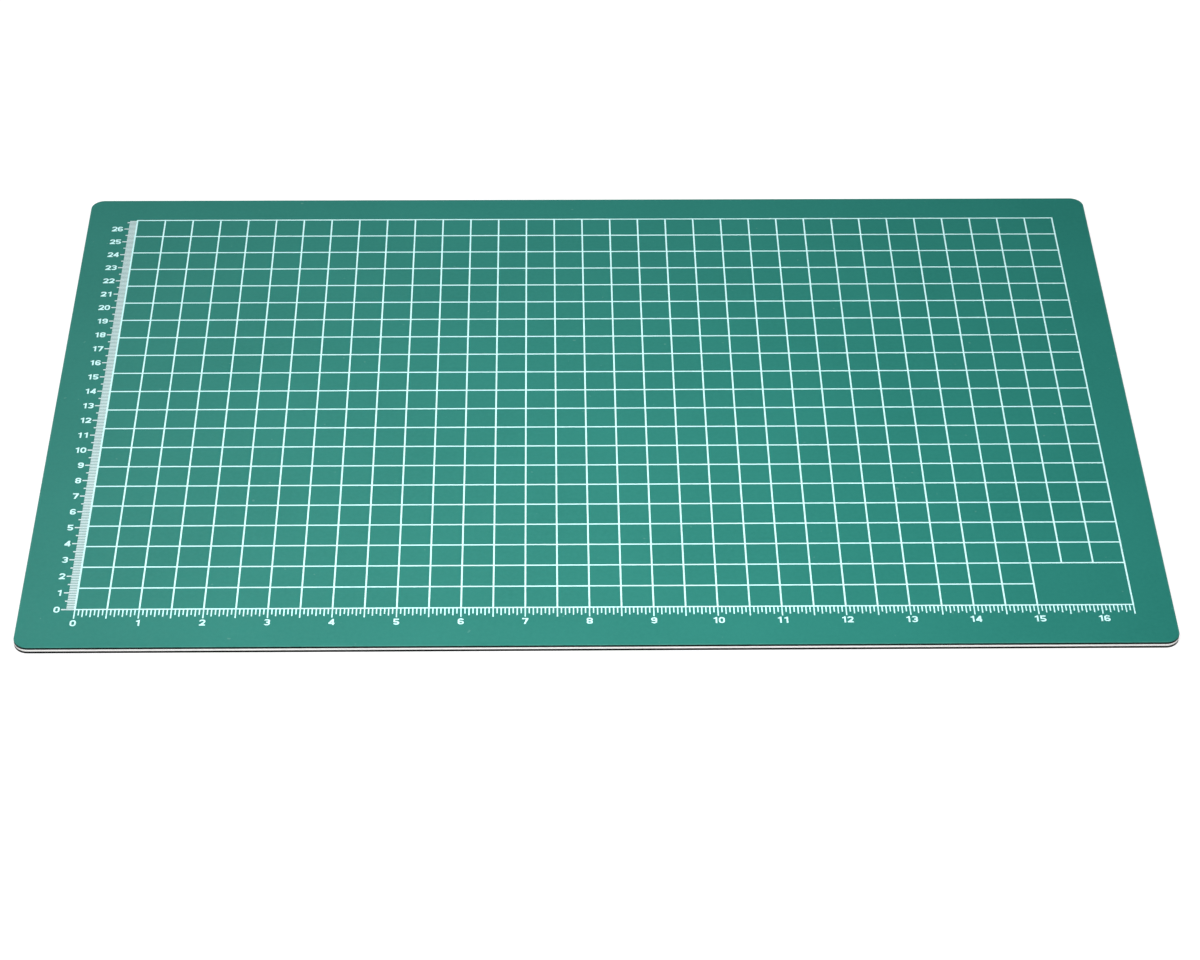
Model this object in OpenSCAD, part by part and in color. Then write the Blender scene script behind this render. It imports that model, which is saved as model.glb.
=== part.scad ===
// Self-healing cutting mat: a flat laminate of a green face sheet, a dark ply, a white
// core and a black ply, with a half-inch grid and two scales printed on its face.
// The origin is the middle of the underside, +X runs along the inch scale,
// +Y runs up the centimetre scale and +Z is out of the cutting face.

/* [Grid] */
// Number of half-inch cells along the inch scale
columns = 33; // [8:1:70]
// Number of half-inch cells along the centimetre scale
rows = 21; // [5:1:46]
// Cells that the blank label box spans along X
label_columns = 3; // [1:1:6]
// Cells that the blank label box spans along Y
label_rows = 2; // [1:1:4]
// Width of a printed grid line
line_w = 0.65; // [0.6:0.05:1.2]

/* [Mat] */
// Plain border on the two sides that carry the scales
scale_margin = 22.2; // [16:0.1:40]
// Plain border on the other two sides
plain_margin = 15.9; // [8:0.1:40]
// Radius of the four corners, seen from above
corner_r = 6; // [1:0.5:7]

/* [Plies] */
// Thickness of the green face sheet
face_t = 0.15; // [0.1:0.05:1]
// Thickness of the dark ply under the face sheet
upper_ply_t = 0.85; // [0.3:0.05:2]
// Thickness of the white core
core_t = 0.9; // [0.5:0.05:3]
// Thickness of the black ply on the underside
lower_ply_t = 1; // [0.5:0.05:2]
// Thickness of each bond film, one above and one below the core
bond_t = 0.05; // [0.02:0.01:0.2]
// Thickness of the printed ink
ink_t = 0.05; // [0.02:0.01:0.1]

/* [Scales] */
// Width of a tick of the inch scale
inch_tick_w = 0.5; // [0.2:0.02:0.6]
// Width of a tick of the centimetre scale
centimetre_tick_w = 0.6; // [0.2:0.02:0.6]
// Length of the ticks at each half inch and each centimetre
long_tick = 5.1; // [4.2:0.1:6]
// Length of the ticks at each eighth of an inch and each half centimetre
middle_tick = 4.1; // [3.3:0.1:4.2]
// Length of the ticks at each sixteenth of an inch and each millimetre
short_tick = 3.1; // [2:0.1:3.3]

/* [Numerals] */
// Height of a numeral
digit_h = 3.5; // [3:0.1:4]
// Width of a numeral
digit_w = 2.4; // [2:0.1:2.5]
// Thickness of a numeral's strokes
stroke = 0.66; // [0.4:0.02:0.8]
// Space between the two digits of a number
digit_gap = 0.2; // [0.1:0.05:1]
// Space between a long inch tick and its number
inch_number_gap = 0.85; // [0.3:0.05:2]
// Space between a long centimetre tick and its number
centimetre_number_gap = 0.6; // [0.3:0.05:2]

/* [Hidden] */
$fn = 48;

inch = 25.4;
cell = inch / 2;
ticks_per_inch = 16;
ticks_per_cell = ticks_per_inch / 2;

grid_w = columns * cell;
grid_h = rows * cell;
mat_w = grid_w + scale_margin + plain_margin;
mat_h = grid_h + scale_margin + plain_margin;

// Corner of the grid where both scales read zero
zero_x = scale_margin - mat_w / 2;
zero_y = scale_margin - mat_h / 2;

// Sides shorter than this are left out of an outline
tiny = 0.001;

last_inch = floor(grid_w / inch);
last_mm = floor(grid_h);
last_cm = floor(grid_h / 10);

// Heights of the undersides of the plies and of the ink
lower_bond_z = lower_ply_t;
core_z = lower_bond_z + bond_t;
upper_bond_z = core_z + core_t;
upper_ply_z = upper_bond_z + bond_t;
face_z = upper_ply_z + upper_ply_t;
ink_z = face_z + face_t;

vinyl_green = [0.20, 0.54, 0.48];
vinyl_dark_green = [0.04, 0.11, 0.10];
vinyl_black = [0.07, 0.08, 0.08];
core_white = [0.95, 0.95, 0.93];
bond_clear = [0.85, 0.85, 0.78];
ink_white = [0.87, 0.98, 0.97];

// ---- Flat outlines ----------------------------------------------------------

// Rectangle centred on the origin, with round corners of true arcs
module rounded_box(w, h, r) {
    if (w > 2 * r + tiny) square([w - 2 * r, h], center = true);
    if (h > 2 * r + tiny) square([w, h - 2 * r], center = true);
    for (sx = [-1, 1], sy = [-1, 1])
        translate([sx * (w / 2 - r), sy * (h / 2 - r)]) circle(r);
}

// Closed stroke that follows a rounded box
module ring(w, h, r) {
    difference() {
        rounded_box(w, h, r);
        rounded_box(w - 2 * stroke, h - 2 * stroke, r - stroke);
    }
}

// Rectangle from its lower left corner to its upper right corner
module bar(x0, y0, x1, y1) {
    translate([x0, y0]) square([x1 - x0, y1 - y0]);
}

// ---- Numerals, each centred on the origin -----------------------------------

half_w = digit_w / 2;
half_h = digit_h / 2;
bowl_r = digit_w / 2;

// How far a cut runs past the outline it trims
overshoot = 1;

// Height of a bowl when two of them share one stroke in the middle
bowl_h = (digit_h + stroke) / 2;
upper_bowl_y = (digit_h - bowl_h) / 2;
bowl_corner = min(bowl_h, digit_w) / 2;

module zero() { ring(digit_w, digit_h, bowl_r); }

module one() {
    stem_x = 0.05 * digit_w;
    flag_x = -0.55 * half_w;
    flag_top = half_h - 0.15 * digit_h;
    flag_foot = half_h - 0.29 * digit_h;
    bar(stem_x, -half_h, stem_x + stroke, half_h);
    polygon([
        [stem_x + 0.5 * stroke, half_h], [stem_x + 0.2 * stroke, half_h],
        [stem_x - 0.1 * stroke, flag_top + 0.3 * stroke],
        [flag_x, flag_top], [flag_x, flag_foot], [stem_x + 0.5 * stroke, flag_foot]
    ]);
}

module two() {
    join_y = upper_bowl_y - bowl_h / 4;
    // Upper half of a bowl, carried on down its right side to the join
    difference() {
        translate([0, upper_bowl_y]) ring(digit_w, bowl_h, bowl_corner);
        bar(-half_w - overshoot, -half_h, 0, upper_bowl_y);
        bar(-half_w - overshoot, -half_h, half_w - stroke, upper_bowl_y);
        bar(-half_w - overshoot, -half_h, half_w + overshoot, join_y);
    }
    // Diagonal from the join down to the base
    polygon([
        [half_w - 0.1 * stroke, join_y + 0.1 * stroke], [half_w - stroke, join_y + 0.35 * stroke],
        [-half_w, -half_h + 0.7 * stroke], [-half_w, -half_h], [-half_w + 1.6 * stroke, -half_h]
    ]);
    bar(-half_w, -half_h, half_w, -half_h + stroke);
}

module three() {
    difference() {
        eight();
        bar(-half_w - overshoot, -bowl_h / 2, -0.2 * half_w, bowl_h / 2);
    }
}

module four() {
    stem_x = 0.1 * digit_w;
    bar_y = -0.22 * digit_h;
    bar(stem_x, -half_h, stem_x + stroke, half_h);
    bar(-half_w, bar_y - stroke / 2, half_w, bar_y + stroke / 2);
    polygon([
        [stem_x + stroke, half_h], [stem_x, half_h],
        [-half_w, bar_y + stroke / 2], [-half_w, bar_y],
        [-half_w + stroke * 0.9, bar_y], [stem_x + stroke, half_h - stroke]
    ]);
}

module five() {
    stem_x = -half_w + 0.2 * stroke;
    neck_y = bowl_h / 2 - upper_bowl_y - stroke;
    bar(stem_x, half_h - stroke, half_w - 0.2 * stroke, half_h);
    bar(stem_x, neck_y, stem_x + stroke, half_h);
    difference() {
        translate([0, -upper_bowl_y]) ring(digit_w, bowl_h, bowl_corner);
        bar(-half_w - overshoot, -upper_bowl_y - stroke / 2, -0.2 * half_w, neck_y);
    }
}

module six() {
    translate([0, -upper_bowl_y]) ring(digit_w, bowl_h, bowl_corner);
    difference() {
        ring(digit_w, digit_h, bowl_r);
        bar(0, -half_h - overshoot, half_w + overshoot, half_h - 1.3 * stroke);
        bar(-half_w - overshoot, -half_h - overshoot, half_w + overshoot, -upper_bowl_y);
    }
}

module seven() {
    foot_x = -0.25 * digit_w;
    bar(-half_w, half_h - stroke, half_w, half_h);
    polygon([
        [half_w, half_h - stroke], [half_w - 0.2 * stroke, half_h - 0.5 * stroke],
        [half_w - 1.2 * stroke, half_h - 0.5 * stroke],
        [foot_x, -half_h], [foot_x + stroke, -half_h]
    ]);
}

module eight() {
    for (side = [-1, 1])
        translate([0, side * upper_bowl_y]) ring(digit_w, bowl_h, bowl_corner);
}

module digit(value) {
    if (value == 0) zero();
    if (value == 1) one();
    if (value == 2) two();
    if (value == 3) three();
    if (value == 4) four();
    if (value == 5) five();
    if (value == 6) six();
    if (value == 7) seven();
    if (value == 8) eight();
    if (value == 9) rotate(180) six();
}

// Whole number from 0 to 99, centred on the origin or ending at it
module number(value, centred) {
    pitch = digit_w + digit_gap;
    width = value > 9 ? pitch + digit_w : digit_w;
    right_end = centred ? width / 2 : 0;
    translate([right_end - half_w, 0]) digit(value % 10);
    if (value > 9) translate([right_end - half_w - pitch, 0]) digit(floor(value / 10));
}

// ---- Plies ------------------------------------------------------------------

module ply(z, thickness) {
    translate([0, 0, z]) linear_extrude(thickness) rounded_box(mat_w, mat_h, corner_r);
}

module lower_ply() { color(vinyl_black) ply(0, lower_ply_t); }
module lower_bond_film() { color(bond_clear) ply(lower_bond_z, bond_t); }
module core_sheet() { color(core_white) ply(core_z, core_t); }
module upper_bond_film() { color(bond_clear) ply(upper_bond_z, bond_t); }
module upper_ply() { color(vinyl_dark_green) ply(upper_ply_z, upper_ply_t); }
module face_sheet() { color(vinyl_green) ply(face_z, face_t); }

// ---- Print ------------------------------------------------------------------

// Lays a flat drawing, whose origin is the zero of both scales, on the cutting face
module print() {
    color(ink_white) translate([zero_x, zero_y, ink_z]) linear_extrude(ink_t) children();
}

module grid_print() {
    edge = line_w / 2;
    label_x = (columns - label_columns) * cell;
    label_y = label_rows * cell;
    print() {
        for (i = [0 : columns]) {
            inside_label = i > columns - label_columns && i < columns;
            bar(i * cell - edge, inside_label ? label_y : -edge, i * cell + edge, grid_h + edge);
        }
        for (j = [0 : rows]) {
            inside_label = j > 0 && j < label_rows;
            bar(-edge, j * cell - edge, inside_label ? label_x : grid_w + edge, j * cell + edge);
        }
    }
}

module inch_tick_print() {
    edge = inch_tick_w / 2;
    print() for (k = [0 : columns * ticks_per_cell]) {
        length = k % ticks_per_cell == 0 ? long_tick : k % 2 == 0 ? middle_tick : short_tick;
        x = k * inch / ticks_per_inch;
        bar(x - edge, -line_w / 2 - length, x + edge, -line_w / 2);
    }
}

module inch_number_print() {
    y = -line_w / 2 - long_tick - inch_number_gap - half_h;
    print() for (n = [0 : last_inch]) translate([n * inch, y]) number(n, centred = true);
}

module centimetre_tick_print() {
    edge = centimetre_tick_w / 2;
    print() for (k = [0 : last_mm]) {
        length = k % 10 == 0 ? long_tick : k % 5 == 0 ? middle_tick : short_tick;
        bar(-line_w / 2 - length, k - edge, -line_w / 2, k + edge);
    }
}

module centimetre_number_print() {
    x = -line_w / 2 - long_tick - centimetre_number_gap;
    print() for (n = [0 : last_cm]) translate([x, n * 10]) number(n, centred = false);
}

lower_ply();
lower_bond_film();
core_sheet();
upper_bond_film();
upper_ply();
face_sheet();
grid_print();
inch_tick_print();
inch_number_print();
centimetre_tick_print();
centimetre_number_print();
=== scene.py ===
"""Looks of the self-healing cutting mat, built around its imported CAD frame, in metres."""
import math
import random

import bmesh
import bpy
from mathutils import Matrix, Vector


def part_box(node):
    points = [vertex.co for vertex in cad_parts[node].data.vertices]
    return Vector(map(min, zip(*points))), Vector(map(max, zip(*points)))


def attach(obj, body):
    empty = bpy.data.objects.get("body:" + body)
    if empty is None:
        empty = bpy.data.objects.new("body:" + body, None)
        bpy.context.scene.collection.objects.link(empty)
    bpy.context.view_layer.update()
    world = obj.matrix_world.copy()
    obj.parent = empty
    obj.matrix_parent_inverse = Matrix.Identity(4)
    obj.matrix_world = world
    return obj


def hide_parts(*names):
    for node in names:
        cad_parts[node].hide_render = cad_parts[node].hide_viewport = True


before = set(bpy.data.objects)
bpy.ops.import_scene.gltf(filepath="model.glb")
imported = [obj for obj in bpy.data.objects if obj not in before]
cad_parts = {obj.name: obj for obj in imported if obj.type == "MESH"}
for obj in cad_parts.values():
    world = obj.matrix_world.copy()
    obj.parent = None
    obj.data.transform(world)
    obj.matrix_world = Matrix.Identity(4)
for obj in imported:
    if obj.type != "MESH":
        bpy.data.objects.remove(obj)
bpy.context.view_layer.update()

MM = 0.001
SEED = 7
WHITE = (1.0, 1.0, 1.0, 1.0)
scene = bpy.context.scene

mat_low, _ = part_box("lower_ply")
_, face_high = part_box("face_sheet")
HALF_W = face_high.x
HALF_D = face_high.y
# Radius of the mat's corners, as in the CAD
CORNER_R = 6.0 * MM


# ---- Camera -----------------------------------------------------------------

def make_camera():
    """A long lens at the photograph's viewing angle, aimed at a point on the bench."""
    azimuth, elevation, roll = (math.radians(degrees) for degrees in (1.2406, 39.5621, 0.5488))
    target = Vector((2.27, -47.58, 0.0)) * MM
    distance = 1364.56 * MM
    forward = Vector((math.sin(azimuth) * math.cos(elevation),
                      math.cos(azimuth) * math.cos(elevation), -math.sin(elevation)))
    level = Vector((math.cos(azimuth), -math.sin(azimuth), 0.0))
    over = level.cross(forward)
    right = math.cos(roll) * level + math.sin(roll) * over
    up = -math.sin(roll) * level + math.cos(roll) * over
    data = bpy.data.cameras.new("camera")
    data.lens = 98.43
    data.sensor_width = 36.0
    data.sensor_fit = "HORIZONTAL"
    data.clip_start = 0.05
    data.clip_end = 50.0
    camera = bpy.data.objects.new("camera", data)
    turn = Matrix((right, up, -forward)).transposed()
    camera.matrix_world = Matrix.Translation(target - forward * distance) @ turn.to_4x4()
    scene.collection.objects.link(camera)
    scene.camera = camera


# ---- Materials --------------------------------------------------------------

class Shader:
    """A node material under construction, with its coordinates in millimetres."""

    # Noise values rarely leave this span
    NOISE_LOW = 0.3
    NOISE_HIGH = 0.7

    def __init__(self, name):
        self.material = bpy.data.materials.new("look_" + name)
        self.material.use_nodes = True
        self.tree = self.material.node_tree
        self.principled = self.tree.nodes["Principled BSDF"]
        place = self.add("ShaderNodeTexCoord")
        grow = self.add("ShaderNodeVectorMath", operation="SCALE")
        grow.inputs["Scale"].default_value = 1.0 / MM
        self.link(place.outputs["Object"], grow.inputs[0])
        self.mm = grow.outputs[0]

    def add(self, kind, **settings):
        node = self.tree.nodes.new(kind)
        for key, value in settings.items():
            setattr(node, key, value)
        return node

    def link(self, a, b):
        self.tree.links.new(a, b)

    def set(self, **values):
        """Sets the shader's own sockets, named with _ in place of spaces."""
        for key, value in values.items():
            self.principled.inputs[key.replace("_", " ")].default_value = value

    def axis(self, name):
        """The X, Y or Z coordinate in millimetres."""
        split = self.add("ShaderNodeSeparateXYZ")
        self.link(self.mm, split.inputs[0])
        return split.outputs[name]

    def noise(self, size_mm, detail=3.0, rough=0.55, stretch=(1.0, 1.0, 1.0)):
        """Noise with features about size_mm across, longer along an axis whose stretch is under 1."""
        lay = self.add("ShaderNodeVectorMath", operation="MULTIPLY")
        lay.inputs[1].default_value = stretch
        self.link(self.mm, lay.inputs[0])
        node = self.add("ShaderNodeTexNoise")
        node.inputs["Scale"].default_value = 1.0 / size_mm
        node.inputs["Detail"].default_value = detail
        node.inputs["Roughness"].default_value = rough
        self.link(lay.outputs[0], node.inputs["Vector"])
        return node.outputs["Fac"]

    def ramp(self, value, low, high, out_low=0.0, out_high=1.0):
        """The value's stretch from low to high, carried over to out_low to out_high."""
        node = self.add("ShaderNodeMapRange")
        ends = {"From Min": low, "From Max": high, "To Min": out_low, "To Max": out_high}
        for key, number in ends.items():
            node.inputs[key].default_value = number
        self.link(value, node.inputs["Value"])
        return node.outputs["Result"]

    def patches(self, size_mm, detail=3.0, between=(0.0, 1.0)):
        """Noise in patches about size_mm across, spread over the two given values."""
        return self.ramp(self.noise(size_mm, detail), self.NOISE_LOW, self.NOISE_HIGH, *between)

    def math(self, operation, a, b):
        node = self.add("ShaderNodeMath", operation=operation)
        for socket, value in zip(node.inputs, (a, b)):
            if isinstance(value, (int, float)):
                socket.default_value = value
            else:
                self.link(value, socket)
        return node.outputs[0]

    def mix(self, amount, a, b):
        """Colour a, giving way to colour b as the amount goes from 0 to 1."""
        node = self.add("ShaderNodeMix", data_type="RGBA")
        self.link(amount, node.inputs["Factor"])
        for socket, value in ((node.inputs[6], a), (node.inputs[7], b)):
            if isinstance(value, tuple):
                socket.default_value = (*value, 1.0)
            else:
                self.link(value, socket)
        return node.outputs[2]

    def tint(self, base, mask, strength, colour):
        """The base with a colour laid over it where the mask is, at no more than strength."""
        return self.mix(self.math("MULTIPLY", mask, strength), base, colour)

    def bump(self, *layers):
        """Stacks (height, distance_mm, strength) layers of bump."""
        normal = None
        for height, distance_mm, strength in layers:
            node = self.add("ShaderNodeBump")
            node.inputs["Distance"].default_value = distance_mm * MM
            node.inputs["Strength"].default_value = strength
            self.link(height, node.inputs["Height"])
            if normal is not None:
                self.link(normal, node.inputs["Normal"])
            normal = node.outputs["Normal"]
        self.link(normal, self.principled.inputs["Normal"])

    def die_comb(self, size_mm):
        """Height of the fine upright marks that the die leaves on a cut edge."""
        return self.noise(size_mm, detail=2.0, rough=0.5, stretch=(1.0, 1.0, 0.15))

    def colour(self, socket):
        self.link(socket, self.principled.inputs["Base Color"])

    def roughness(self, socket):
        self.link(socket, self.principled.inputs["Roughness"])

    def rim(self, width_mm):
        """1 on the mat's outer rim, falling to 0 width_mm inside it, broken up by noise."""
        reach_x, reach_y = (
            self.math("SUBTRACT", half / MM, self.math("ABSOLUTE", self.axis(name), 0.0))
            for name, half in (("X", HALF_W), ("Y", HALF_D))
        )
        near = self.ramp(self.math("MINIMUM", reach_x, reach_y), width_mm, 0.0)
        # Noise that breaks the pale rim, painted on the face as a highlight, into patches
        highlight_breakup = self.ramp(self.noise(7.0), 0.35, 0.6, 0.35, 1.0)
        return self.math("MULTIPLY", near, highlight_breakup)


def face_vinyl():
    """Matte green vinyl: fine leathery grain, faint mottling and a painted highlight along the rim, pale
    in patches.
    """
    deep, bright = (0.0125, 0.160, 0.129), (0.0150, 0.174, 0.141)
    # The third colour is a pale green, painted along the rim as the highlight of the top arris
    speck, dust, rim_highlight = (0.021, 0.200, 0.163), (0.30, 0.46, 0.43), (0.11, 0.33, 0.28)
    highlight_rim_mm = 0.7
    s = Shader("face_vinyl")
    base = s.mix(s.patches(55.0, 2.0), deep, bright)
    base = s.tint(base, s.patches(1.6), 0.35, speck)
    # Only the rare peaks of this noise pass, as grains of dust
    base = s.tint(base, s.ramp(s.noise(3.1, 1.0), 0.765, 0.785), 0.12, dust)
    # Painted highlight: the rim of the face is paled in patches, as if its top arris caught the light
    base = s.tint(base, s.rim(highlight_rim_mm), 0.30, rim_highlight)
    s.colour(base)
    s.roughness(s.patches(3.0, between=(0.41, 0.48)))
    s.set(Specular_IOR_Level=0.16)
    s.bump((s.noise(9.0, 2.0), 0.05, 0.25), (s.noise(0.42, 2.0), 0.02, 0.45))
    return s.material


def cut_vinyl(name, dark, light, backing=None):
    """Dark vinyl, combed by the die on its cut edge.

    A ply that is seen from below has a backing colour, which is paler and grained.
    """
    s = Shader(name)
    base = s.mix(s.patches(2.0), dark, light)
    if backing:
        # Height in millimetres over which the colour of the underside gives way to the cut edge's
        low_mm, high_mm = 0.01, 0.03
        underside = s.ramp(s.axis("Z"), high_mm, low_mm)
        grained = s.mix(s.patches(14.0), backing, tuple(1.35 * channel for channel in backing))
        base = s.mix(underside, base, grained)
    s.colour(base)
    s.roughness(s.patches(4.0, between=(0.58, 0.72)))
    s.set(Specular_IOR_Level=0.08)
    s.bump((s.noise(1.1), 0.05, 0.35), (s.die_comb(0.35), 0.03, 0.5))
    return s.material


def core_plastic():
    """White core, a little chalky where the die has cut it."""
    s = Shader("core")
    s.colour(s.mix(s.patches(5.0), (0.90, 0.90, 0.89), (0.94, 0.94, 0.93)))
    s.roughness(s.patches(3.0, between=(0.55, 0.70)))
    s.set(Specular_IOR_Level=0.3)
    s.bump((s.die_comb(0.5), 0.03, 0.4))
    return s.material


def film_plastic():
    """Adhesive film that shows only as a hairline between the plies."""
    s = Shader("bond_film")
    s.colour(s.mix(s.patches(3.0), (0.20, 0.20, 0.18), (0.28, 0.28, 0.25)))
    s.roughness(s.patches(1.0, between=(0.30, 0.45)))
    s.bump((s.noise(0.6), 0.01, 0.3))
    return s.material


def ink(name, dark, light, thinned):
    """Screen-printed pale ink: even coverage, thinned slightly on the peaks of the grain."""
    s = Shader(name)
    peaks = s.ramp(s.noise(0.5, 2.0), 0.60, 0.74)
    s.colour(s.tint(s.mix(s.patches(22.0, 2.0), dark, light), peaks, 0.30, thinned))
    s.roughness(s.patches(2.0, between=(0.42, 0.55)))
    s.set(Specular_IOR_Level=0.3)
    s.bump((s.noise(0.42, 2.0), 0.015, 0.4))
    return s.material


# ---- Plies ------------------------------------------------------------------

def outline(inset, wander, rng):
    """Points round a die-cut sheet, anticlockwise, each up to wander inside the true edge."""
    step = 4.0 * MM
    arc_parts = 14
    # Each point keeps most of the drift of the one before it
    kept, added = 0.8, 0.2
    quarter = math.pi / 2
    points = []
    for turn, (side_x, side_y) in enumerate(((1, 1), (-1, 1), (-1, -1), (1, -1))):
        centre = Vector((side_x * (HALF_W - CORNER_R), side_y * (HALF_D - CORNER_R)))
        for k in range(arc_parts + 1):
            angle = turn * quarter + k * quarter / arc_parts
            way = Vector((math.cos(angle), math.sin(angle)))
            points.append((centre + way * (CORNER_R - inset), way))
        run = 2 * ((HALF_W if turn % 2 == 0 else HALF_D) - CORNER_R)
        parts = int(run / step)
        start, way = points[-1]
        along = Vector((-way.y, way.x))
        for k in range(1, parts):
            points.append((start + along * (run * k / parts), way))
    drift = 0.0
    placed = []
    for point, way in points:
        drift = kept * drift + added * rng.random()
        placed.append(point - way * (wander * drift))
    return placed


def edge_profile(low, high, bottom_round, top_round):
    """The sheet's edge from low to high as (distance in from the outline, height) pairs."""
    parts = 5
    profile = []
    for k in range(parts + 1 if bottom_round else 1):
        angle = math.pi / 2 * k / parts
        profile.append((bottom_round * (1 - math.sin(angle)), low + bottom_round * (1 - math.cos(angle))))
    for k in range(parts + 1 if top_round else 1):
        angle = math.pi / 2 * k / parts
        profile.append((top_round * (1 - math.cos(angle)), high - top_round * (1 - math.sin(angle))))
    return profile


def slab(name, node, body_slot, seed, top_round=0.0, bottom_round=0.0, inset=0.0):
    """A sheet in the place of a CAD ply, with the look of its material slot.

    An edge that isn't rounded stays a sharp cut.
    """
    wander = 0.03 * MM
    low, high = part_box(node)
    bm = bmesh.new()
    rings = []
    for reach, z in edge_profile(low.z, high.z, bottom_round, top_round):
        shape = outline(inset + reach, wander, random.Random(SEED + seed))
        rings.append([bm.verts.new((p.x, p.y, z)) for p in shape])
    count = len(rings[0])
    for lower, upper in zip(rings, rings[1:]):
        for k in range(count):
            after = (k + 1) % count
            bm.faces.new((lower[k], lower[after], upper[after], upper[k])).smooth = True
    bm.faces.new(rings[-1])
    bm.faces.new(list(reversed(rings[0])))
    for ring, softened in ((rings[0], bottom_round), (rings[-1], top_round)):
        for k in range(count):
            bm.edges.get((ring[k], ring[(k + 1) % count])).smooth = bool(softened)
    bmesh.ops.recalc_face_normals(bm, faces=bm.faces)
    mesh = bpy.data.meshes.new(name)
    bm.to_mesh(mesh)
    bm.free()
    mesh.materials.append(LOOKS[body_slot])
    piece = bpy.data.objects.new(name, mesh)
    scene.collection.objects.link(piece)
    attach(piece, "root")
    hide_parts(node)


# ---- Stage ------------------------------------------------------------------

def make_floor():
    """A white floor that glows, and that is clear from below so the mat's underside can be looked at."""
    half = 20.0
    # The gap keeps the floor out of the plane of the mat's underside
    gap = 0.15 * MM
    z = mat_low.z - gap
    corners = [(-half, -half, z), (half, -half, z), (half, half, z), (-half, half, z)]
    mesh = bpy.data.meshes.new("floor")
    mesh.from_pydata(corners, [], [(0, 1, 2, 3)])
    floor = bpy.data.objects.new("floor", mesh)
    scene.collection.objects.link(floor)
    s = Shader("floor")
    s.set(Base_Color=(0.25, 0.25, 0.25, 1.0), Roughness=0.9, Specular_IOR_Level=0.0)
    s.set(Emission_Color=WHITE, Emission_Strength=0.86)
    # Sampled as a lamp, so large a floor leaves a diagonal seam across the underside just above it
    s.material.cycles.emission_sampling = "NONE"
    clear = s.add("ShaderNodeBsdfTransparent")
    side = s.add("ShaderNodeNewGeometry")
    either = s.add("ShaderNodeMixShader")
    s.link(side.outputs["Backfacing"], either.inputs[0])
    s.link(s.principled.outputs[0], either.inputs[1])
    s.link(clear.outputs[0], either.inputs[2])
    s.link(either.outputs[0], s.tree.nodes["Material Output"].inputs["Surface"])
    mesh.materials.append(s.material)


def area_light(name, place, size, watts):
    """A square soft light, aimed at the middle of the mat."""
    data = bpy.data.lights.new(name, "AREA")
    data.shape = "SQUARE"
    data.size = size
    data.energy = watts
    lamp = bpy.data.objects.new(name, data)
    lamp.location = place
    lamp.rotation_euler = (-Vector(place)).to_track_quat("-Z", "Y").to_euler()
    scene.collection.objects.link(lamp)


def make_lights():
    """Five soft lights round the mat and a dim white world, with colours shown as they are."""
    world = bpy.data.worlds.new("studio")
    world.use_nodes = True
    background = world.node_tree.nodes["Background"]
    background.inputs["Color"].default_value = WHITE
    background.inputs["Strength"].default_value = 0.12
    scene.world = world
    area_light("near", place=(-0.03, -0.2, 0.45), size=0.3, watts=2.5)
    area_light("front", place=(0.0, -0.9, 0.8), size=0.6, watts=3.3)
    area_light("overhead", place=(0.0, 0.0, 2.2), size=2.0, watts=8.0)
    area_light("back", place=(-0.2, 0.9, 1.2), size=0.6, watts=3.4)
    area_light("back_left", place=(-0.6, 0.9, 1.1), size=0.6, watts=2.6)
    scene.view_settings.view_transform = "Standard"
    scene.view_settings.look = "None"


# ---- Build ------------------------------------------------------------------

make_camera()
LOOKS = {
    "face_vinyl": face_vinyl(),
    "upper_vinyl": cut_vinyl("upper_vinyl", dark=(0.002, 0.008, 0.007), light=(0.003, 0.013, 0.011)),
    "lower_vinyl": cut_vinyl("lower_vinyl", dark=(0.004, 0.005, 0.005), light=(0.007, 0.008, 0.008),
                             backing=(0.020, 0.022, 0.022)),
    "core": core_plastic(),
    "bond_film": film_plastic(),
    "ink": ink("ink", (0.54, 0.86, 0.87), (0.58, 0.90, 0.91), (0.38, 0.67, 0.65)),
    # The closely printed centimetre ticks read as a greyer strip
    "ink_strip": ink("ink_strip", (0.58, 0.71, 0.73), (0.62, 0.75, 0.77), (0.42, 0.56, 0.56)),
}

# The face and the ply under it share a seed, because one cut runs through both
slab("lower_ply_skin", "lower_ply", "lower_vinyl", seed=1, bottom_round=0.08 * MM)
slab("core_sheet_cut", "core_sheet", "core", seed=2, inset=0.02 * MM)
slab("upper_ply_cut", "upper_ply", "upper_vinyl", seed=3)
slab("face_sheet_skin", "face_sheet", "face_vinyl", seed=3, top_round=0.12 * MM)

CAD_LOOKS = {
    "lower_bond_film": "bond_film",
    "upper_bond_film": "bond_film",
    "grid_print": "ink",
    "inch_tick_print": "ink",
    "inch_number_print": "ink",
    "centimetre_tick_print": "ink_strip",
    "centimetre_number_print": "ink",
}
for node, look in CAD_LOOKS.items():
    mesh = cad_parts[node].data
    mesh.materials.clear()
    mesh.materials.append(LOOKS[look])

make_floor()
make_lights()
